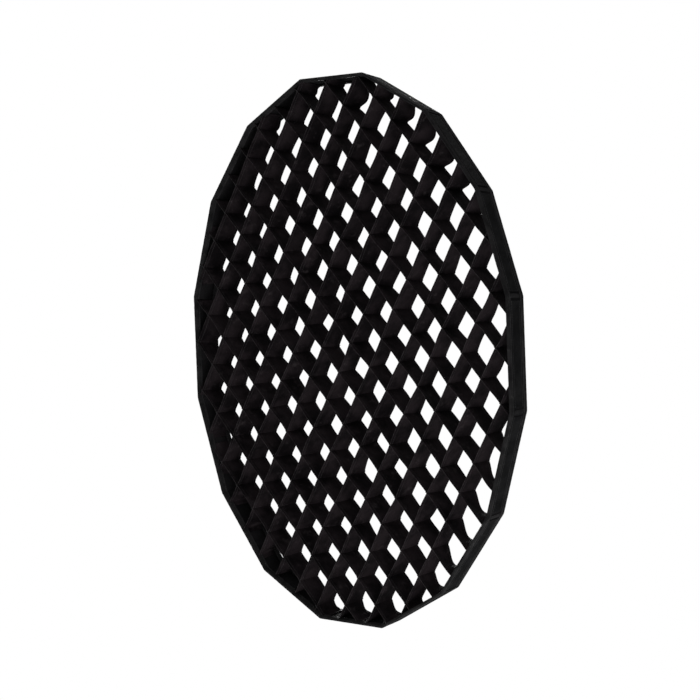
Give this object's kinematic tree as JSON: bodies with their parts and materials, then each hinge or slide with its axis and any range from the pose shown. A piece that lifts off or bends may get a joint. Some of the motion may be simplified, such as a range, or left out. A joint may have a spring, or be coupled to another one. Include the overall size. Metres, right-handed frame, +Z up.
{
  "type": "softbox egg-crate grid",
  "caption": "Soft egg-crate light grid for a polygonal softbox: slotted black fabric strips form square cells inside a bound band with hook tape on its outer face.",
  "frame": {"origin": "centre of the rim's front edge, in the plane of the band's front edge", "axes": "-Y is the way the face looks, +Y goes back into the softbox, +Z is up as mounted, +X is to the right of someone who looks at the face; the strips run at 45 degrees to +Z, and the nearest corner of the rim is 5.5 degrees to the left of +Z as seen from the front"},
  "size_m": [0.8896, 0.0396, 0.8896],
  "materials": {
    "lattice_fabric": "matte woven polyester with turned hems",
    "band_fabric": "matte coated fabric",
    "hook_tape": "woven nylon tape with moulded hooks",
    "binding_tape": "ribbed grosgrain tape with a soft sheen",
    "thread": "bonded polyester thread"
  },
  "bodies": {
    "root": {"strip_a_01": "lattice_fabric", "strip_a_02": "lattice_fabric", "strip_a_03": "lattice_fabric", "strip_a_04": "lattice_fabric", "strip_a_05": "lattice_fabric", "strip_a_06": "lattice_fabric", "strip_a_07": "lattice_fabric", "strip_a_08": "lattice_fabric", "strip_a_09": "lattice_fabric", "strip_a_10": "lattice_fabric", "strip_a_11": "lattice_fabric", "strip_a_12": "lattice_fabric", "strip_a_13": "lattice_fabric", "strip_a_14": "lattice_fabric", "strip_b_01": "lattice_fabric", "strip_b_02": "lattice_fabric", "strip_b_03": "lattice_fabric", "strip_b_04": "lattice_fabric", "strip_b_05": "lattice_fabric", "strip_b_06": "lattice_fabric", "strip_b_07": "lattice_fabric", "strip_b_08": "lattice_fabric", "strip_b_09": "lattice_fabric", "strip_b_10": "lattice_fabric", "strip_b_11": "lattice_fabric", "strip_b_12": "lattice_fabric", "strip_b_13": "lattice_fabric", "strip_b_14": "lattice_fabric", "band_panel_01": "band_fabric", "band_panel_02": "band_fabric", "band_panel_03": "band_fabric", "band_panel_04": "band_fabric", "band_panel_05": "band_fabric", "band_panel_06": "band_fabric", "band_panel_07": "band_fabric", "band_panel_08": "band_fabric", "band_panel_09": "band_fabric", "band_panel_10": "band_fabric", "band_panel_11": "band_fabric", "band_panel_12": "band_fabric", "band_panel_13": "band_fabric", "band_panel_14": "band_fabric", "band_panel_15": "band_fabric", "band_panel_16": "band_fabric", "hook_tape": "hook_tape", "front_binding": "binding_tape", "back_binding": "binding_tape", "corner_tapes": "binding_tape", "front_tacks": "thread", "back_tacks": "thread"}
  },
  "joints": []
}
